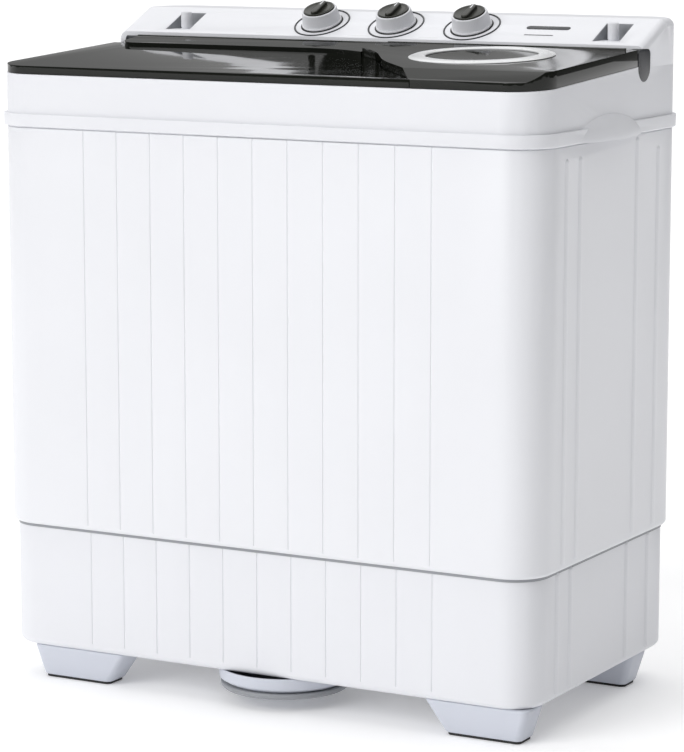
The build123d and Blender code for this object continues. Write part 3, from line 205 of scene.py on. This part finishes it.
def softened(node_name, width, reshape=None):
    """A copy of a CAD node with its sharp edges rounded, which stands for the node."""
    mesh = nodes[node_name].data.copy()
    form = bmesh.new()
    form.from_mesh(mesh)
    if reshape:
        reshape(form)
    bmesh.ops.remove_doubles(form, verts=form.verts, dist=weld_distance)
    bmesh.ops.dissolve_limit(form, angle_limit=flat_angle, verts=form.verts, edges=form.edges)
    for face in form.faces:
        face.smooth = True
    form.to_mesh(mesh)
    form.free()
    piece = object_from(f"{node_name}_soft", mesh, body_of[node_name], slot_of[node_name])
    bevel = piece.modifiers.new("round", "BEVEL")
    bevel.width = width * MM
    bevel.segments = bevel_steps
    bevel.limit_method = "ANGLE"
    bevel.angle_limit = bevel_angle
    bevel.use_clamp_overlap = True
    bevel.harden_normals = True
    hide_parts(node_name)


# width of each node's rounding, in millimetres
for node_name, width in (
    ("cabinet", 0.5), ("base", 0.7), ("top_frame", 0.8), ("control_panel", 1.2),
    ("spin_lid", 1.4), ("hinge_brackets", 1.5), ("feet", 3), ("spin_lid_ring", 0.6),
    ("rear_cover", 0.4), ("motor_guard", 1), ("guard_rim", 1), ("water_inlets", 0.5),
    ("foot_pads", 0.6),
):
    softened(node_name, width)
softened("wash_lid", 1.2, reshape=slope_strip)

# ------------------------------------------------- forms, all sized in millimetres
# the fine ribs round a knob's side, between two heights
rib_count = 72
rib_depth = 0.25
rib_low, rib_high = 3.3, 16.5
sharp_angle = math.radians(40)


def skinned(form, rings, closed=False):
    """Walls from each ring of points to the next, and on to the first ring if closed."""
    following = rings[1:] + rings[:1] if closed else rings[1:]
    for a, b in zip(rings, following):
        count = max(len(a), len(b))
        for i in range(count):
            j = (i + 1) % count
            if len(a) == 1:
                form.faces.new((a[0], b[j], b[i]))
            elif len(b) == 1:
                form.faces.new((a[i], a[j], b[0]))
            else:
                form.faces.new((a[i], a[j], b[j], b[i]))


def smoothed(form):
    """The form with its faces turned outwards and smooth."""
    bmesh.ops.recalc_face_normals(form, faces=form.faces)
    for face in form.faces:
        face.smooth = True
    return form


def placed(form, matrix):
    form.transform(matrix)
    return form


def turned(profile, steps, closed=False, ribbed=False):
    """A form turned about local Z from points of (radius, height); ribs wave its side."""
    form = bmesh.new()
    rings = []
    for r, h in profile:
        if r == 0:
            rings.append([form.verts.new((0, 0, h * MM))])
            continue
        depth = rib_depth if ribbed and rib_low <= h <= rib_high else 0
        ring = []
        for i in range(steps):
            a = 2 * math.pi * i / steps
            radius = (r - depth * (0.5 - 0.5 * math.cos(a * rib_count))) * MM
            ring.append(form.verts.new((radius * math.cos(a), radius * math.sin(a), h * MM)))
        rings.append(ring)
    skinned(form, rings, closed)
    return smoothed(form)


def rounded_bar(length, width, low, high, edge):
    """A bar with round ends and softened top edges, lying along local Y."""
    end_steps, edge_steps = 8, 4
    layers = [(0, low)]
    for i in range(edge_steps + 1):
        a = math.pi / 2 * i / edge_steps
        layers.append((edge * (1 - math.cos(a)), high - edge + edge * math.sin(a)))
    form = bmesh.new()
    rings = []
    for inset, h in layers:
        r = width / 2 - inset
        ring = []
        for end in (1, -1):
            centre = end * (length - width) / 2
            for i in range(end_steps + 1):
                a = math.pi * i / end_steps
                ring.append(form.verts.new((end * r * math.cos(a) * MM,
                                            (centre + end * r * math.sin(a)) * MM, h * MM)))
        rings.append(ring)
    skinned(form, rings)
    form.faces.new(list(reversed(rings[0])))
    form.faces.new(rings[-1])
    return smoothed(form)


def strip_round(half_w, half_d, corner, thick, low, high):
    """A thin upright strip round a rectangle with round corners."""
    corner_steps = 12
    form = bmesh.new()
    loops = []
    for grow, height in ((0, low), (thick, low), (thick, high), (0, high)):
        loop = []
        for quarter, (side_x, side_y) in enumerate(((1, 1), (-1, 1), (-1, -1), (1, -1))):
            for i in range(corner_steps + 1):
                a = math.pi / 2 * (quarter + i / corner_steps)
                loop.append(form.verts.new((
                    (side_x * (half_w - corner) + (corner + grow) * math.cos(a)) * MM,
                    (side_y * (half_d - corner) + (corner + grow) * math.sin(a)) * MM,
                    height * MM)))
        loops.append(loop)
    skinned(form, loops, closed=True)
    return smoothed(form)


def built(name, forms, body, slot):
    """One piece from forms that are already in place."""
    whole = bmesh.new()
    for form in forms:
        part = bpy.data.meshes.new("part")
        form.to_mesh(part)
        form.free()
        whole.from_mesh(part)
        bpy.data.meshes.remove(part)
    mesh = bpy.data.meshes.new(name)
    whole.to_mesh(mesh)
    whole.free()
    mesh.set_sharp_from_angle(angle=sharp_angle)
    return object_from(name, mesh, body, slot)


# -------------------------------------------------------------------------- dials
joint_of = {"wash_timer": "wash_timer_turn", "wash_selector": "selector_turn",
            "spin_timer": "spin_timer_turn"}
joints = {j["name"]: j for j in frame["joints"]}

# outlines from the middle of the underside to the middle of the top
skirt = [(0, 0.8), (22.9, 0.8), (23.5, 1.2), (23.5, 2.4), (23.1, 2.9), (22.5, 3.0), (22.4, 3.4),
         (22.0, 6.5), (21.5, 10.0), (21.0, 13.5), (20.7, 16.0), (20.5, 16.9), (20.1, 17.6),
         (19.4, 17.8), (18.7, 17.7), (18.2, 17.2), (18.05, 16.35), (0, 16.3)]
dish = [(0, 16.4), (17.4, 16.4), (17.9, 16.7), (17.95, 18.6), (17.7, 19.1), (17.1, 19.3),
        (16.4, 19.2), (15.6, 18.7), (13.0, 18.2), (8.0, 17.8), (0, 17.6)]
pointer_out = 9


def on_face(joint):
    """Frame of a dial: origin on the sloping panel, local Z out of it and local X across."""
    z = -Vector(joint["axis"]).normalized()
    x = Vector((1, 0, 0))
    y = z.cross(x)
    turn = Matrix((x, y, z)).transposed().to_4x4()
    return Matrix.Translation(Vector(joint["pos_m"])) @ turn


spots = {dial: on_face(joints[joint]) for dial, joint in joint_of.items()}
for dial, spot in spots.items():
    body = body_of[f"{dial}_knob"]
    knob = built(f"{dial}_knob_ribbed", [placed(turned(skirt, 288, ribbed=True), spot)],
                 body, "white_plastic")
    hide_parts(f"{dial}_knob")
    cap = built(f"{dial}_cap_dished", [placed(turned(dish, 96), spot)], body, "olive_cap")
    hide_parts(f"{dial}_cap")
    grip = rounded_bar(length=31.5, width=8.5, low=17.4, high=21.7, edge=1.8)
    built(f"{dial}_grip", [placed(grip, spot)], body, "olive_cap")
    pointer = rounded_bar(length=9, width=1.4, low=21.4, high=21.85, edge=0.1)
    outwards = Matrix.Translation((0, pointer_out * MM, 0))
    built(f"{dial}_pointer", [placed(pointer, spot @ outwards)], body, "white_plastic")

# ------------------------------------------------- rings and print on the panel's face
ring_outline = [(31.4, 0.02), (31.45, 0.6), (31.7, 0.9), (32.1, 1.0), (32.7, 1.0), (33.1, 0.9),
                (33.35, 0.6), (33.4, 0.02)]
# a flat black ring under each knob: painted shade at the knob's foot
shade_ring_outline = [(21.5, 0.02), (21.5, 0.55), (24.7, 0.55), (25.0, 0.4), (25.1, 0.02)]
rings = built("dial_rings_rounded",
              [placed(turned(ring_outline, 160, closed=True), spot) for spot in spots.values()],
              body_of["dial_rings"], "slate_plastic")
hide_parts("dial_rings")
# black rings round the foot of each knob: painted shade under the knobs' skirts
built("dial_painted_shade_rings",
      [placed(turned(shade_ring_outline, 128, closed=True), spot) for spot in spots.values()],
      body_of["dial_rings"], "black_rubber")

# the sloping face's own frame, on the machine's middle line at the height of the dials
face_origin = spots["wash_timer"].copy()
face_origin.translation.x = 0.0
print_up, print_width, print_proud = -29, 1.0, 0.12


def face_bar(x0, x1, up, width, proud):
    """A low bar across the sloping face, at a height over the middle of the dials."""
    bar = rounded_bar(x1 - x0, width, 0.02, proud, proud * 0.6)
    return placed(bar, face_origin @ Matrix.Translation(((x0 + x1) / 2 * MM, up * MM, 0))
                  @ Matrix.Rotation(math.pi / 2, 4, "Z"))


built("panel_print",
      [face_bar(x0, x1, print_up, print_width, print_proud)
       for x0, x1 in ((-155, -131), (-33, -5), (59, 84))],
      body_of["control_panel"], "silver_trim")
# a blank plate with a plain line under it
built("nameplate",
      [face_bar(x0=182, x1=236, up=2, width=7.5, proud=0.5),
       face_bar(x0=186, x1=222, up=-15.5, width=1.6, proud=0.2)],
      body_of["control_panel"], "slate_plastic")

# ---------------------------------------------- grey strip under the cabinet's lower edge: painted shade of the gap there
built("base_painted_shade_strip",
      [strip_round(half_w=333.9, half_d=186.4, corner=38.9, thick=0.9, low=178.3, high=181.4)],
      body_of["base"], "grey_plastic")

# ------------------------------------------------- grey U pieces in the inlet pockets: painted shade on their walls
pocket_middles = (-264.5, 290.5)
pocket_half, pocket_front, pocket_rear = 16.4, 83, 121.9
shade_wall, shade_low, shade_high = 0.7, 733.1, 756
shade_below_face = 0.3


def pocket_painted_shade(x):
    """A thin grey U of painted shade on one pocket's walls, trimmed just under the sloping face."""
    inner, inner_rear = pocket_half - shade_wall, pocket_rear - shade_wall
    plan = [(-pocket_half, pocket_front), (-pocket_half, pocket_rear),
            (pocket_half, pocket_rear), (pocket_half, pocket_front),
            (inner, pocket_front), (inner, inner_rear),
            (-inner, inner_rear), (-inner, pocket_front)]
    form = bmesh.new()
    low, high = [[form.verts.new(((x + a) * MM, b * MM, h * MM)) for a, b in plan]
                 for h in (shade_low, shade_high)]
    skinned(form, [low, high])
    form.faces.new(list(reversed(low)))
    form.faces.new(high)
    out_of_face = (face_origin.to_3x3() @ Vector((0, 0, 1))).normalized()
    cut = bmesh.ops.bisect_plane(
        form, geom=form.verts[:] + form.edges[:] + form.faces[:], clear_outer=True,
        plane_co=face_origin.translation - out_of_face * shade_below_face * MM,
        plane_no=out_of_face,
    )
    rim = [e for e in cut["geom_cut"] if isinstance(e, bmesh.types.BMEdge)]
    bmesh.ops.contextual_create(form, geom=rim)
    bmesh.ops.recalc_face_normals(form, faces=form.faces)
    return form


built("inlet_pocket_painted_shade", [pocket_painted_shade(x) for x in pocket_middles],
      body_of["control_panel"], "grey_plastic")

# ------------------------------------------------------------------ floor, lights
floor_half = 40
floor_below = 0.2 * MM
floor_glow = 0.15   # keeps the background white under suns that leave the panel pale grey

floor_mesh = bpy.data.meshes.new("floor")
floor_z = cad_box[0].z - floor_below
floor_mesh.from_pydata([(x * floor_half, y * floor_half, floor_z)
                        for x, y in ((-1, -1), (1, -1), (1, 1), (-1, 1))], [], [(0, 1, 2, 3)])
floor = bpy.data.objects.new("floor", floor_mesh)
bpy.context.scene.collection.objects.link(floor)
floor_mesh.materials.append(
    material("floor", (0.965, 0.965, 0.97), 0.55, vary=0.006, vary_scale=1.5, bump=0.05,
             bump_scale=120, specular=0.2)
)
floor_shader = floor_mesh.materials[0].node_tree.nodes["Principled BSDF"]
floor_shader.inputs["Emission Color"].default_value = (1, 1, 1, 1)
floor_shader.inputs["Emission Strength"].default_value = floor_glow


def sun(name, come_from, strength, angle):
    """An even, very soft light from one side of the studio."""
    data = bpy.data.lights.new(name, "SUN")
    data.energy = strength
    data.angle = math.radians(angle)
    lamp = bpy.data.objects.new(name, data)
    lamp.rotation_euler = Vector(come_from).to_track_quat("Z", "Y").to_euler()
    bpy.context.scene.collection.objects.link(lamp)


sun("key", (-0.4, -0.82, 0.47), strength=1.53, angle=40)
sun("top", (-0.12, 0.3, 1.0), strength=1.18, angle=80)

# a dim room with a bright ceiling, lighter behind the machine than to its right
lit_wall = (-0.55, 0.83, -0.1)

world = bpy.data.worlds.new("studio")
world.use_nodes = True
bpy.context.scene.world = world
room = world.node_tree


def eased(value, start, end, low, high):
    """Light that grows smoothly from low to high as a value goes from start to end."""
    ramp = room.nodes.new("ShaderNodeMapRange")
    ramp.interpolation_type = "SMOOTHSTEP"
    ramp.inputs["From Min"].default_value = start
    ramp.inputs["From Max"].default_value = end
    ramp.inputs["To Min"].default_value = low
    ramp.inputs["To Max"].default_value = high
    room.links.new(value, ramp.inputs["Value"])
    return ramp.outputs["Result"]


heading = room.nodes.new("ShaderNodeTexCoord").outputs["Generated"]
split = room.nodes.new("ShaderNodeSeparateXYZ")
room.links.new(heading, split.inputs["Vector"])
toward = room.nodes.new("ShaderNodeVectorMath")
toward.operation = "DOT_PRODUCT"
toward.inputs[1].default_value = lit_wall
room.links.new(heading, toward.inputs[0])
both = room.nodes.new("ShaderNodeMath")
both.operation = "ADD"
overhead = eased(split.outputs["Z"], start=0.25, end=0.85, low=0.04, high=0.6)
behind = eased(toward.outputs["Value"], start=0.2, end=0.95, low=0.02, high=0.32)
room.links.new(overhead, both.inputs[0])
room.links.new(behind, both.inputs[1])
sky = room.nodes["Background"]
sky.inputs["Strength"].default_value = 1.0
room.links.new(both.outputs["Value"], sky.inputs["Color"])

view = bpy.context.scene.view_settings
view.view_transform = "Standard"
view.look = "None"
